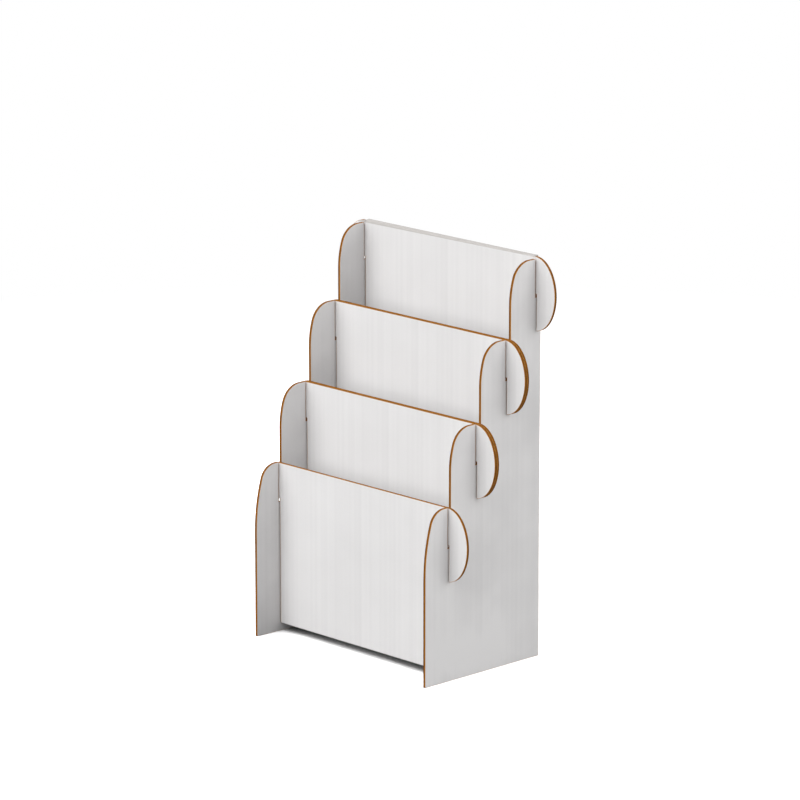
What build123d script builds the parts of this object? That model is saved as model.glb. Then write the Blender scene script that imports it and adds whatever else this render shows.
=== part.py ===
from build123d import *
from math import asin, cos, degrees
import os

# Stepped counter display for leaflets, made of white-faced corrugated board.
# Two side panels stand on edge. Three folded pockets hang between them by rounded ears,
# and the rear pocket's sheet turns over at the top and comes down as the back panel.
# X is the width, Y runs from front to back, Z is up. The origin is the middle of the footprint.

# Board
board = 2.6  # thickness of the sheet
fold_round = 1.2  # outside radius of a creased fold
crease = 0.3  # inside radius of a creased fold

# Overall sizes
clear_width = 218.0  # between the side panels, for a leaflet 210 wide
pockets = 3
pocket_gap = 31.8  # front to back inside a pocket
first_top = 160.4  # top of the front wall above the table
rise = 70.3  # from one wall top to the next
pocket_lift = 7.5  # underside of the front pocket above the table

# Side panels
first_step = 28.6  # from the front edge of the side panels to the front wall
nose_run = 23.7  # length of the curve at the head of every tier
nose_end = 21.0  # radius where the curve meets the level top
nose_flank = 76.0  # radius where the curve meets the upright edge
first_nose_end = 17.0  # the same two radii at the front tier
first_nose_flank = 165.0
side_over = 0.5  # the side panels stand above the walls, except at the back
side_under = 2.0  # the side panels stop below the rear wall

# Ears
ear_reach = 24.6  # from the middle of the side board to the ear's tip
ear_height = 68.0
lap_middle = 35.5  # the two slots of a lap meet this far below the top of the wall

# Clearances
nest_play = 0.2  # between two walls that stand back to back
slot_front_play = 1.0  # in front of the walls, in the side panel's slot
slot_rear_play = 0.2  # behind the walls, in the side panel's slot
side_play = 0.9  # each side of the side panel, in the wall's slot
lap_gap = 3.0  # open height between the ends of the two slots of a lap

# Back panel
back_gap = 1.0  # between the rear wall and the back panel
back_lift = 2.0  # lower edge of the back panel above the table
turn_round = 1.4  # outside radius of the fold over the top
turn_proud = 0.5  # height of that fold above the line of the other walls

# Places of the pockets and tiers, measured from the front edge of the side panels
pocket_depth = 2 * board + pocket_gap
pocket_front = [first_step + k * (pocket_depth + nest_play) for k in range(pockets)]
wall_top = [first_top + i * rise for i in range(pockets + 1)]
side_top = [top + side_over for top in wall_top[:-1]] + [wall_top[-1] - side_under]
lap_front = [pocket_front[0]] + [y + board + pocket_gap for y in pocket_front]
lap_rear = [y + board for y in pocket_front] + [pocket_front[-1] + pocket_depth]
slot_front = [y - slot_front_play for y in lap_front]
slot_rear = [y + slot_rear_play for y in lap_rear]
tier_edge = [0.0] + slot_rear[:-1]
depth = lap_rear[-1] + back_gap + board
half_clear = clear_width / 2
half_wall = half_clear - side_play


def block(width, height, x, y):
    """A rectangle whose lower left corner is at x, y."""
    return Pos(x, y) * Rectangle(width, height, align=(Align.MIN, Align.MIN))


def tier(edge, top):
    """One step of the side panel: an upright front edge under a head of two tangent arcs."""
    end = first_nose_end if edge == 0 else nose_end
    flank = first_nose_flank if edge == 0 else nose_flank
    turn = asin((flank - nose_run) / (flank - end))
    drop = end * (1 - cos(turn)) + flank * cos(turn)
    head = CenterArc((edge + nose_run, top - end), end, 90, degrees(turn))
    side = CenterArc((edge + flank, top - drop), flank, 90 + degrees(turn), 90 - degrees(turn))
    rest = Polyline(side @ 1, (edge, 0), (depth, 0), (depth, top), head @ 0)
    return make_face(head + side + rest)


def side_outline():
    """The stepped side panel, seen from its right, with a slot at every tier."""
    outline = Sketch()
    for edge, top in zip(tier_edge, side_top):
        outline += tier(edge, top)
    for front, rear, top, wall in zip(slot_front, slot_rear, side_top, wall_top):
        foot = wall - lap_middle - lap_gap / 2
        outline -= block(rear - front, top - foot, front, foot)
    return outline


def side_panel():
    """The right side panel, standing on its base edge."""
    place = Plane.YZ.offset(half_clear)
    return extrude(place * Pos(-depth / 2, 0) * side_outline(), board)


def pocket_section(index):
    """The folded sheet of a pocket seen from its end: front wall, floor and back wall."""
    start = pocket_front[index]
    floor = pocket_lift + index * rise
    section = block(pocket_depth, board, start, floor)
    section += block(board, wall_top[index] - floor, start, floor)
    section += block(board, wall_top[index + 1] - floor, start + board + pocket_gap, floor)
    section = fillet(section.vertices().group_by(Axis.Y)[1], crease)
    return fillet(section.vertices().group_by(Axis.Y)[0], fold_round)


def back_section():
    """The rear pocket's section, turned over at the top into the back panel."""
    section = pocket_section(pockets - 1)
    top = wall_top[-1] + turn_proud
    fold = block(depth - lap_front[-1], board + turn_proud, lap_front[-1], wall_top[-1] - board)
    section += fold + block(board, top - back_lift, depth - board, back_lift)
    section = fillet(section.vertices().group_by(Axis.Y)[-2], crease)
    return fillet(section.vertices().group_by(Axis.Y)[-1], turn_round)


def ear_outline():
    """A right-hand ear, drawn about the middle of the side board, with its slot below."""
    tip = Ellipse(ear_reach, ear_height / 2)
    tip &= Rectangle(ear_reach, ear_height, align=(Align.MIN, Align.CENTER))
    root_width = board / 2 + side_play
    root = Rectangle(root_width, ear_height, align=(Align.MAX, Align.CENTER))
    length = ear_height - lap_middle + lap_gap / 2
    slot = block(2 * root_width, length, -root_width, -ear_height / 2)
    return tip + root - slot


def ears(front, top):
    """Both ears of the wall whose front face and top edge are given."""
    place = Plane.XZ.offset(depth / 2 - front)
    middle = half_clear + board / 2
    right = extrude(place * Pos(middle, top - ear_height / 2) * ear_outline(), -board)
    return right + mirror(right, Plane.YZ)


def pocket(index):
    """One folded pocket: the sheet between the side panels and the ears of its two walls."""
    section = back_section() if index == pockets - 1 else pocket_section(index)
    sheet = extrude(Plane.YZ * Pos(-depth / 2, 0) * section, half_wall, both=True)
    sheet += ears(pocket_front[index], wall_top[index])
    return sheet + ears(pocket_front[index] + board + pocket_gap, wall_top[index + 1])


os.makedirs("parts", exist_ok=True)

right_panel = side_panel()
export_step(right_panel, "parts/side_panel_right.step")
export_step(mirror(right_panel, Plane.YZ), "parts/side_panel_left.step")

for index, name in enumerate(["pocket_front", "pocket_middle", "pocket_rear"]):
    export_step(pocket(index), f"parts/{name}.step")
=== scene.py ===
from math import ceil, cos, hypot, pi, radians, sin

import bmesh
import bpy
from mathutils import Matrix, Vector


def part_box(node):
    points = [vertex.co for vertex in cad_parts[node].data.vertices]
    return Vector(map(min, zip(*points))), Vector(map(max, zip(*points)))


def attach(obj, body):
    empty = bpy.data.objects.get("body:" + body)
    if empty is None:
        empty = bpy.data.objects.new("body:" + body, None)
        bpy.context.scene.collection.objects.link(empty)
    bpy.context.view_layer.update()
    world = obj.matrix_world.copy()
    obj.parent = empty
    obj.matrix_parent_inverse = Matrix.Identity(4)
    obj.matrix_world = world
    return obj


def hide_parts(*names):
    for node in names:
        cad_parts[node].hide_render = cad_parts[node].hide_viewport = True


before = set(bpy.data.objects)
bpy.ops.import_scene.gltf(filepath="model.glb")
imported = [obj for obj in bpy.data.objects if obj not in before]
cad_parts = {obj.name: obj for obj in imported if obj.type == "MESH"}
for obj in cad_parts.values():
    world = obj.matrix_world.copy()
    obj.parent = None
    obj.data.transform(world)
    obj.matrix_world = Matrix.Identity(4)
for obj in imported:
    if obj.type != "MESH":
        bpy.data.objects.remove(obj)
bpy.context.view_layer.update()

# Side panels
# Two upright stepped sheets of white-faced corrugated board, die-cut, standing on their lower edges.
# Their cut edges are bare: a thin liner each side and the brown fluted medium between them.

side_nodes = ["side_panel_left", "side_panel_right"]
panel_low, panel_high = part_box("side_panel_right")
board = panel_high.x - panel_low.x
x_axis, y_axis = range(2)

liner = 0.00025  # thickness of the paper on each face
medium = 0.00025  # thickness of the wavy paper between them
flute_pitch = 0.0065
flute_swing = board / 2 - liner - medium / 2
flute_step = 0.00045  # length of one facet of a flute, along the cut
cut_depth = 0.0007  # the core lies this far below the rims of the liners
crest_below_cut = 0.00005  # the edge of the medium lies this far below them
worn_and_highlit_band = 0.0012  # width of a liner's border along its cuts, with a painted highlight and wear
liner_round = 0.00015  # rounding of a liner's outer corner

sharp_angle = radians(28)  # past this the shading keeps a crease
corner_angle = radians(60)  # past this a liner's edge is an outer corner
flat_angle = radians(0.05)  # within this two facets are one flat face
weld = 1e-6
ribbon_weld = 1e-7
smallest_face = 1e-6  # in square metres, to leave slivers out
squarely = 0.9  # a face looks along an axis when its normal has this much of it
rung_share = 0.98  # an edge runs through the board when this much of its length does


def new_group(name, inputs, outputs):
    """An empty shader node group with its inputs and outputs."""
    group = bpy.data.node_groups.new(name, "ShaderNodeTree")
    for label, kind, default in inputs:
        socket = group.interface.new_socket(label, in_out="INPUT", socket_type=kind)
        if default is not None:
            socket.default_value = default
    for label, kind in outputs:
        group.interface.new_socket(label, in_out="OUTPUT", socket_type=kind)
    return group


def add(tree, kind, inputs=None, **properties):
    """A node in the tree. Its properties are set first, and then the values on its inputs."""
    node = tree.nodes.new(kind)
    for label, value in properties.items():
        setattr(node, label, value)
    for label, value in (inputs or {}).items():
        node.inputs[label].default_value = value
    return node


def link(tree, source, target):
    tree.links.new(source, target)


def arithmetic(tree, operation, first, second):
    """A Math node: each operand is a socket or a number."""
    node = add(tree, "ShaderNodeMath", operation=operation)
    for socket, value in zip(node.inputs, (first, second)):
        if isinstance(value, bpy.types.NodeSocket):
            link(tree, value, socket)
        else:
            socket.default_value = value
    return node.outputs[0]


def ranged(tree, value, from_low=0.0, from_high=1.0, to_low=0.0, to_high=1.0):
    """The value carried from one range to another, and held within it."""
    limits = {"From Min": from_low, "From Max": from_high, "To Min": to_low, "To Max": to_high}
    node = add(tree, "ShaderNodeMapRange", inputs=limits)
    link(tree, value, node.inputs["Value"])
    return node.outputs["Result"]


def two_tones(tree, value, low, dark, high, light):
    """A colour that goes from dark to light as the value goes from low to high."""
    ramp = add(tree, "ShaderNodeValToRGB")
    for stop, place, colour in zip(ramp.color_ramp.elements, (low, high), (dark, light)):
        stop.position = place
        stop.color = colour
    link(tree, value, ramp.inputs["Fac"])
    return ramp.outputs["Color"]


def mixed(tree, factor, under, over):
    """The colour over laid on the socket under, by a factor."""
    node = add(tree, "ShaderNodeMix", data_type="RGBA", inputs={"B": over})
    link(tree, factor, node.inputs["Factor"])
    link(tree, under, node.inputs["A"])
    return node.outputs["Result"]


def relief(tree, height, strength, distance):
    """The surface's normal, bumped by a height."""
    node = add(tree, "ShaderNodeBump", inputs={"Strength": strength, "Distance": distance})
    link(tree, height, node.inputs["Height"])
    return node.outputs["Normal"]


base_tone = 0.225
streak_share = 0.45
fibre_share = 0.2
ridge_share = 0.03
fibre_relief = 0.35
noise_middle = 0.5


def paper_group():
    """Paper over flutes: a tone from clouds, streaks, fibres and ridges, and a height for bump."""
    group = new_group(
        "paper_over_flutes",
        [
            ("Place", "NodeSocketVector", None),
            ("Across flutes", "NodeSocketFloat", 0.0),
            ("Clouds", "NodeSocketFloat", 0.5),
        ],
        [("Tone", "NodeSocketFloat"), ("Height", "NodeSocketFloat"), ("Fibre", "NodeSocketFloat")],
    )
    enter = add(group, "NodeGroupInput")
    leave = add(group, "NodeGroupOutput")
    across = enter.outputs["Across flutes"]
    clouds = add(group, "ShaderNodeTexNoise", inputs={"Scale": 14.0, "Detail": 3.0, "Roughness": 0.5})
    fibres = add(group, "ShaderNodeTexNoise", inputs={"Scale": 700.0, "Detail": 4.0, "Roughness": 0.65})
    streak_noise = {"Scale": 85.0, "Detail": 2.0, "Roughness": 0.6}
    streaks = add(group, "ShaderNodeTexNoise", noise_dimensions="1D", inputs=streak_noise)
    link(group, enter.outputs["Place"], clouds.inputs["Vector"])
    link(group, enter.outputs["Place"], fibres.inputs["Vector"])
    link(group, across, streaks.inputs["W"])
    turns = arithmetic(group, "MULTIPLY", across, 2 * pi / flute_pitch)
    ridge = arithmetic(group, "SINE", turns, 0.0)
    cloud_swing = arithmetic(group, "SUBTRACT", clouds.outputs["Fac"], noise_middle)
    cloud_tone = arithmetic(group, "MULTIPLY", cloud_swing, enter.outputs["Clouds"])
    streak_tone = arithmetic(group, "MULTIPLY", streaks.outputs["Fac"], streak_share)
    fibre_tone = arithmetic(group, "MULTIPLY", fibres.outputs["Fac"], fibre_share)
    ridge_tone = arithmetic(group, "MULTIPLY", ridge, ridge_share)
    broad = arithmetic(group, "ADD", arithmetic(group, "ADD", cloud_tone, streak_tone), base_tone)
    tone = arithmetic(group, "ADD", broad, arithmetic(group, "ADD", fibre_tone, ridge_tone))
    link(group, tone, leave.inputs["Tone"])
    washboard = arithmetic(group, "MULTIPLY", ridge, streaks.outputs["Fac"])
    fibre_height = arithmetic(group, "MULTIPLY", fibres.outputs["Fac"], fibre_relief)
    link(group, arithmetic(group, "ADD", washboard, fibre_height), leave.inputs["Height"])
    link(group, fibres.outputs["Fac"], leave.inputs["Fibre"])
    return group


def new_material(name, gloss):
    """A material with that specular level, its node tree and its shader."""
    material = bpy.data.materials.new(name)
    material.use_nodes = True
    surface = material.node_tree.nodes["Principled BSDF"]
    surface.inputs["Specular IOR Level"].default_value = gloss
    return material, material.node_tree, surface


paper = paper_group()
paper_dark = (0.725, 0.715, 0.714, 1.0)
paper_light = (0.805, 0.795, 0.793, 1.0)
# painted highlight: a pale warm colour laid along the liners' cut edges
edge_highlight_paper = (0.93, 0.87, 0.81, 1.0)
worn_through = (0.46, 0.22, 0.07, 1.0)


def white_paper(name, across, clouds):
    """White liner paper. across is the axis that crosses the flutes, X or Y."""
    material, tree, surface = new_material(name, gloss=0.25)
    place = add(tree, "ShaderNodeTexCoord").outputs["Object"]
    split = add(tree, "ShaderNodeSeparateXYZ")
    link(tree, place, split.inputs[0])
    sheet = add(tree, "ShaderNodeGroup", node_tree=paper, inputs={"Clouds": clouds})
    link(tree, place, sheet.inputs["Place"])
    link(tree, split.outputs[across], sheet.inputs["Across flutes"])
    fibre = sheet.outputs["Fibre"]
    clean = two_tones(
        tree, sheet.outputs["Tone"], low=0.3, dark=paper_dark, high=0.7, light=paper_light
    )
    # painted highlight along the cuts: edge_wear_and_highlight lays the pale warm colour in fibre
    # patches over the liner, and at the very edge the brown of paper worn through
    worn_and_highlit = add(tree, "ShaderNodeAttribute", attribute_name="edge_wear_and_highlight").outputs["Fac"]
    patches = ranged(tree, fibre, from_low=0.35, from_high=0.6, to_low=0.4)
    # rubbed here is the pale painted highlight along the cuts, not paper rubbed lighter
    rubbed = mixed(tree, arithmetic(tree, "MULTIPLY", worn_and_highlit, patches), clean, edge_highlight_paper)
    through = ranged(tree, worn_and_highlit, from_low=0.55, from_high=0.8, to_high=0.75)
    edged = mixed(tree, through, rubbed, worn_through)
    link(tree, edged, surface.inputs["Base Color"])
    rough = ranged(tree, fibre, to_low=0.62, to_high=0.82)
    link(tree, rough, surface.inputs["Roughness"])
    bumped = relief(tree, sheet.outputs["Height"], strength=0.25, distance=0.00006)
    link(tree, bumped, surface.inputs["Normal"])
    return material


def kraft_paper(name, dark, light):
    """Bare brown paper seen on a cut edge, between two tones."""
    material, tree, surface = new_material(name, gloss=0.15)
    place = add(tree, "ShaderNodeTexCoord").outputs["Object"]
    noise = add(tree, "ShaderNodeTexNoise", inputs={"Scale": 420.0, "Detail": 5.0, "Roughness": 0.7})
    link(tree, place, noise.inputs["Vector"])
    fibre = noise.outputs["Fac"]
    tone = two_tones(tree, fibre, low=0.32, dark=dark, high=0.68, light=light)
    link(tree, tone, surface.inputs["Base Color"])
    rough = ranged(tree, fibre, to_low=0.8, to_high=0.97)
    link(tree, rough, surface.inputs["Roughness"])
    bumped = relief(tree, fibre, strength=0.5, distance=0.0001)
    link(tree, bumped, surface.inputs["Normal"])
    return material


side_paper = white_paper("white_paper_side", across="Y", clouds=1.3)
# kraft_core colours the floor of the sunk core, which stands for the open flute tunnels: kraft's own
# brown, darkened as painted shade of their depth
core_paper = kraft_paper(
    "kraft_core", dark=(0.25, 0.095, 0.012, 1.0), light=(0.36, 0.145, 0.022, 1.0)
)
flute_paper = kraft_paper(
    "kraft_flutes", dark=(0.37, 0.15, 0.022, 1.0), light=(0.53, 0.225, 0.038, 1.0)
)
paper_face, core_face, flute_face = range(3)


def merged_solid(node):
    """The node's solid as one closed mesh with whole flat faces."""
    mesh = bmesh.new()
    mesh.from_mesh(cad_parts[node].data)
    bmesh.ops.remove_doubles(mesh, verts=mesh.verts, dist=weld)
    bmesh.ops.dissolve_limit(mesh, angle_limit=flat_angle, verts=mesh.verts, edges=mesh.edges)
    mesh.normal_update()
    return mesh


def sink_core(mesh, cuts, in_lap):
    """Sinks the core between the liners along every cut. The liners' rims are bare paper, but
    white where in_lap is true. Returns the corners of those white rims."""
    rims = bmesh.ops.inset_region(
        mesh, faces=cuts, thickness=liner, depth=0.0, use_even_offset=False, use_boundary=True
    )["faces"]
    for face in rims:
        face.material_index = paper_face if in_lap(face) else flute_face
    walls = bmesh.ops.inset_region(
        mesh, faces=cuts, thickness=0.0, depth=-cut_depth, use_even_offset=True, use_boundary=True
    )["faces"]
    # the sunk floor and its walls take the darker core brown, which is partly painted shade of the
    # hollow flutes
    for face in walls + cuts:
        face.material_index = core_face
    mesh.normal_update()
    return {v for f in rims if f.material_index == paper_face for v in f.verts}


def mark_worn_and_highlit_border(mesh, liners, sheltered):
    """Gives the liners a narrow border along their cuts, with edge_wear_and_highlight falling to
    nothing inwards:
    a pale painted highlight, and wear at the very edge. The sheltered corners have none."""
    wear_and_highlight_layer = mesh.verts.layers.float.new("edge_wear_and_highlight")
    for vert in {v for f in liners for v in f.verts}:
        vert[wear_and_highlight_layer] = 0.0
    border = bmesh.ops.inset_region(
        mesh, faces=liners, thickness=worn_and_highlit_band, depth=0.0, use_even_offset=False, use_boundary=True
    )["faces"]
    inner = {v for f in liners for v in f.verts}
    for vert in {v for f in border for v in f.verts} - inner - sheltered:
        vert[wear_and_highlight_layer] = 1.0


def is_rung(edge, through):
    """True for a cut's edges that run through the board, from one liner to the other."""
    run = edge.verts[1].co - edge.verts[0].co
    return abs(run[through]) > rung_share * run.length


def middle_of(edge):
    return (edge.verts[0].co + edge.verts[1].co) / 2


def outward(faces):
    return sum((f.normal for f in faces), Vector()).normalized()


def edge_paths(cuts, through):
    """Middle points and outward directions along each run of cut faces, in order."""
    rungs = {}
    for face in cuts:
        ends = [e for e in face.edges if is_rung(e, through)]
        if len(face.verts) == 4 and len(ends) == 2:
            for rung in ends:
                rungs.setdefault(rung, []).append(face)
    used, paths = set(), []
    for start in sorted(rungs, key=lambda rung: len(rungs[rung])):
        path, rung = [start], start
        while onward := [f for f in rungs[rung] if f not in used]:
            used.add(onward[0])
            rung = next(e for e in onward[0].edges if e is not rung and is_rung(e, through))
            path.append(rung)
        if len(path) > 1:
            paths.append([(middle_of(rung), outward(rungs[rung])) for rung in path])
    return paths


def add_flutes(mesh, path, along, through):
    """A ribbon of the wavy medium, standing in the sunk core along one run of a cut."""
    stops = []
    for (start, start_out), (end, end_out) in zip(path, path[1:]):
        steps = ceil((end - start).length / flute_step)
        for step in range(steps):
            stops.append((start.lerp(end, step / steps), start_out.lerp(end_out, step / steps)))
    stops.append(path[-1])
    sides = ((0.0, -1), (1.0, -1), (1.0, 1), (0.0, 1), (0.0, -1))
    made = bmesh.ops.create_grid(
        mesh, x_segments=len(stops) - 1, y_segments=len(sides) - 1, size=1.0
    )["verts"]
    for row, (height, side) in enumerate(sides):
        for vert, (point, out) in zip(made[row * len(stops) :], stops):
            turn = 2 * pi * point[along] / flute_pitch
            slope = flute_swing * cos(turn) * 2 * pi / flute_pitch
            vert.co = point + out.normalized() * height * (cut_depth - crest_below_cut)
            vert.co[through] += flute_swing * sin(turn) + side * medium / 2 * hypot(1, slope)
    bmesh.ops.remove_doubles(mesh, verts=made, dist=ribbon_weld)
    ribbon = list(dict.fromkeys(f for v in made if v.is_valid for f in v.link_faces))
    ends = [e for e in dict.fromkeys(e for f in ribbon for e in f.edges) if e.is_boundary]
    ribbon += bmesh.ops.holes_fill(mesh, edges=ends, sides=4)["faces"]
    bmesh.ops.recalc_face_normals(mesh, faces=ribbon)
    for face in ribbon:
        face.material_index = flute_face


def is_liner_corner(edge):
    """True along the outer corner between a liner's face and its bare rim."""
    kinds = {f.material_index for f in edge.link_faces}
    return kinds == {paper_face, flute_face} and edge.calc_face_angle(0.0) > corner_angle


def is_shut(face, shut_above):
    """True between the side panels and above the height shut_above."""
    middle = face.calc_center_median()
    return middle.z > shut_above and abs(middle.x) < panel_low.x


def board_piece(node, name, is_cut, in_lap, along, through, white, shut_above=None):
    """The node's sheet as real board: liners rubbed bare along the corners, sunk core and flutes.
    The flutes follow each other on the axis along, and the board's thickness is on the axis
    through. Above the height shut_above, if one is given, the cuts that is_shut picks are plain."""
    mesh = merged_solid(node)
    if shut_above is not None:
        everything = [*mesh.verts, *mesh.edges, *mesh.faces]
        level = (0.0, 0.0, shut_above)
        bmesh.ops.bisect_plane(mesh, geom=everything, plane_co=level, plane_no=(0.0, 0.0, 1.0))
    cuts = [f for f in mesh.faces if is_cut(f)]
    liners = [f for f in mesh.faces if not is_cut(f) and f.calc_area() > smallest_face]
    if shut_above is not None:
        cuts = [f for f in cuts if not is_shut(f, shut_above)]
    sheltered = sink_core(mesh, cuts, in_lap)
    mark_worn_and_highlit_border(mesh, liners, sheltered)
    paths = edge_paths(cuts, through)
    corners = [e for e in mesh.edges if is_liner_corner(e)]
    rubbed = bmesh.ops.bevel(
        mesh, geom=corners, offset=liner_round, affect="EDGES", segments=2, profile=0.5, material=-1
    )["faces"]
    for face in rubbed:
        face.material_index = flute_face
    for path in paths:
        add_flutes(mesh, path, along, through)
    for face in mesh.faces:
        face.smooth = True
    for edge in mesh.edges:
        edge.smooth = edge.calc_face_angle(pi) < sharp_angle
    data = bpy.data.meshes.new(name)
    mesh.to_mesh(data)
    mesh.free()
    for material in (white, core_paper, flute_paper):
        data.materials.append(material)
    piece = bpy.data.objects.new(name, data)
    bpy.context.scene.collection.objects.link(piece)
    normals = piece.modifiers.new("even_normals", "WEIGHTED_NORMAL")
    normals.keep_sharp = True
    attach(piece, "root")
    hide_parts(node)


def side_cut(face):
    """Every face of the panel but its two sides."""
    return abs(face.normal.x) < squarely


def front_of_slot(face):
    """The front edge of a slot, which a wall's face lies against."""
    return face.normal.y > squarely and face.calc_center_median().y < panel_high.y - board / 2


for node in side_nodes:
    name = node.replace("panel", "sheet")
    board_piece(node, name, side_cut, front_of_slot, y_axis, x_axis, side_paper)


# Front and middle pockets
# Each is one sheet folded into a trough: front wall, floor and back wall, cut from the same board.
# Rounded ears at both ends of both walls lap into the side panels' slots and hold by friction.

pocket_paper = white_paper("white_paper_pocket", across="X", clouds=0.5)
level_cut = 0.999  # least upward or downward part of the normal of a level cut
ear_cut = 0.04  # least sideways part of the normal of an end or of an ear's round
depth_slack = 0.05 * board


def pocket_cut(face):
    """The sheet's ends, and the level cuts as deep as the board. Folds and faces are not cuts."""
    places = [v.co.y for v in face.verts]
    as_deep_as_board = abs(max(places) - min(places) - board) < depth_slack
    level = abs(face.normal.z) > level_cut and as_deep_as_board
    end = abs(face.normal.x) > ear_cut and face.calc_area() > smallest_face
    return end or level


def beside_panel(face):
    """The cuts of a wall's ends and ears that stand next to a side panel."""
    reach = panel_high.x + board / 2
    return abs(face.normal.x) > squarely and abs(face.calc_center_median().x) < reach


for node in ("pocket_front", "pocket_middle"):
    name = node.replace("pocket", "trough")
    board_piece(node, name, pocket_cut, beside_panel, x_axis, y_axis, pocket_paper)


# Rear pocket and back panel
# One longer sheet: the same trough, whose back wall turns over at the top
# and comes down outside as the back panel, between the side panels' rear edges.

turned_paper = white_paper("white_paper_turned", across="X", clouds=0.5)
fold_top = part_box("pocket_rear")[1].z
pressed_from = fold_top - 1.2 * board  # above this the fold's ends are pressed shut
fold_shade_foot = fold_top - 0.0022  # lower edge of the painted shade on the fold's upward face, at mid width
band_lean = 0.0076  # that edge's rise to the right, as a share of the distance
band_blend = 0.0006
# painted shade: the grey of the fold's upward face, which the lamps light less than the wall below it
fold_top_shade_grey = (0.555, 0.53, 0.51, 1.0)


def shade_the_fold_top(material):
    """Paints shade on the fold's upward face: grey above a height that rises from left to right, so the
    band is wider at the left.
    """
    tree = material.node_tree
    colour = tree.nodes["Principled BSDF"].inputs["Base Color"]
    clean = colour.links[0].from_socket
    split = add(tree, "ShaderNodeSeparateXYZ")
    link(tree, add(tree, "ShaderNodeTexCoord").outputs["Object"], split.inputs[0])
    rise = arithmetic(tree, "MULTIPLY", split.outputs["X"], band_lean)
    level = arithmetic(tree, "SUBTRACT", split.outputs["Z"], rise)
    fold_shade = ranged(tree, level, from_low=fold_shade_foot, from_high=fold_shade_foot + band_blend)
    link(tree, mixed(tree, fold_shade, clean, fold_top_shade_grey), colour)


# paints the shade of the fold's upward face into the turned paper's colour
shade_the_fold_top(turned_paper)
name = "trough_rear_and_back"
board_piece("pocket_rear", name, pocket_cut, beside_panel, x_axis, y_axis, turned_paper, pressed_from)


# Floor, light and camera
# A plain white table top that keeps the display's shadow and a painted shade under it, two large soft
# lamps in front, one at the right side, a weak one behind, and an even pale room. The camera is at the
# photograph's angle.

target = Vector((0.00514, 0.00020, 0.23235))
camera_azimuth = 45.92
camera_elevation = 14.04
camera_distance = 4.349
sensor = 36.0
focal_pixels = 4824.0
frame_pixels = 800.0
lamp_distance = 3.0


def direction(azimuth, elevation):
    """From the target towards an azimuth, where 0 is the front, and an elevation, in degrees."""
    turn, tilt = radians(azimuth), radians(elevation)
    return Vector((sin(turn) * cos(tilt), -cos(turn) * cos(tilt), sin(tilt)))


def aimed(name, data, place):
    """A lamp or camera at that place, turned to the target."""
    holder = bpy.data.objects.new(name, data)
    bpy.context.scene.collection.objects.link(holder)
    holder.location = place
    holder.rotation_euler = (target - place).to_track_quat("-Z", "Y").to_euler()
    return holder


def soft_lamp(name, azimuth, elevation, side, power):
    """A square lamp. Its power is in watts."""
    lamp = bpy.data.lights.new(name, "AREA")
    lamp.size = side
    lamp.energy = power
    aimed(name, lamp, target + lamp_distance * direction(azimuth, elevation))


soft_lamp("low_front_lamp", azimuth=-23.0, elevation=17.0, side=2.6, power=45.0)
soft_lamp("high_front_lamp", azimuth=3.0, elevation=45.0, side=2.6, power=53.0)
soft_lamp("side_lamp", azimuth=112.0, elevation=20.0, side=2.6, power=49.0)
soft_lamp("back_lamp", azimuth=208.0, elevation=28.0, side=2.2, power=22.0)


def camera_or_mirror(tree):
    """1 for rays that show the surroundings to the camera, straight, mirrored or through glass."""
    path = add(tree, "ShaderNodeLightPath")
    seen = arithmetic(tree, "ADD", path.outputs["Is Camera Ray"], path.outputs["Is Glossy Ray"])
    total = arithmetic(tree, "ADD", seen, path.outputs["Is Transmission Ray"])
    total.node.use_clamp = True
    return total


room = bpy.data.worlds.new("pale_room")
bpy.context.scene.world = room
room.use_nodes = True
room_light = room.node_tree.nodes["Background"]
room_light.inputs["Color"].default_value = (1.0, 1.0, 1.0, 1.0)
room_strength = ranged(room.node_tree, camera_or_mirror(room.node_tree), to_low=0.32)
link(room.node_tree, room_strength, room_light.inputs["Strength"])

table_half = 15.0
table_for_object = 0.3  # the table's tone in the light that it throws back
shade_reach = 0.08  # how far from the table a sheet still darkens it in the painted shade

table_mesh = bmesh.new()
bmesh.ops.create_grid(table_mesh, x_segments=1, y_segments=1, size=table_half)
table_data = bpy.data.meshes.new("table_top")
table_mesh.to_mesh(table_data)
table_mesh.free()
table = bpy.data.objects.new("table_top", table_data)
bpy.context.scene.collection.objects.link(table)

table_paint = bpy.data.materials.new("white_table")
table_paint.use_nodes = True
tree = table_paint.node_tree
tree.nodes.remove(tree.nodes["Principled BSDF"])
matt = add(tree, "ShaderNodeBsdfDiffuse")
shown = camera_or_mirror(tree)
# painted shade: for the camera the AO node darkens the table's colour where the sheets close it in,
# deepest under the front pocket, and lifts it past white in the open
open_sky = add(tree, "ShaderNodeAmbientOcclusion", samples=8, inputs={"Distance": shade_reach})
painted_floor_shade = ranged(tree, open_sky.outputs["AO"], from_low=0.05, from_high=0.4, to_low=0.12, to_high=2.0)
white = add(tree, "ShaderNodeMix", inputs={"A": table_for_object})
link(tree, shown, white.inputs["Factor"])
link(tree, painted_floor_shade, white.inputs["B"])
link(tree, white.outputs["Result"], matt.inputs["Color"])
away = add(tree, "ShaderNodeVectorMath", operation="LENGTH")
link(tree, add(tree, "ShaderNodeTexCoord").outputs["Object"], away.inputs[0])
far = ranged(tree, away.outputs["Value"], from_low=0.8, from_high=1.5)
backdrop = add(tree, "ShaderNodeEmission")
joined = add(tree, "ShaderNodeMixShader")
link(tree, arithmetic(tree, "MULTIPLY", far, shown), joined.inputs["Fac"])
link(tree, matt.outputs[0], joined.inputs[1])
link(tree, backdrop.outputs[0], joined.inputs[2])
link(tree, joined.outputs[0], tree.nodes["Material Output"].inputs["Surface"])
table_data.materials.append(table_paint)

camera_data = bpy.data.cameras.new("camera")
camera_data.sensor_width = sensor
camera_data.lens = sensor * focal_pixels / frame_pixels
camera_data.clip_end = 100.0
camera_place = target + camera_distance * direction(camera_azimuth, camera_elevation)
bpy.context.scene.camera = aimed("camera", camera_data, camera_place)
bpy.context.scene.view_settings.view_transform = "Standard"
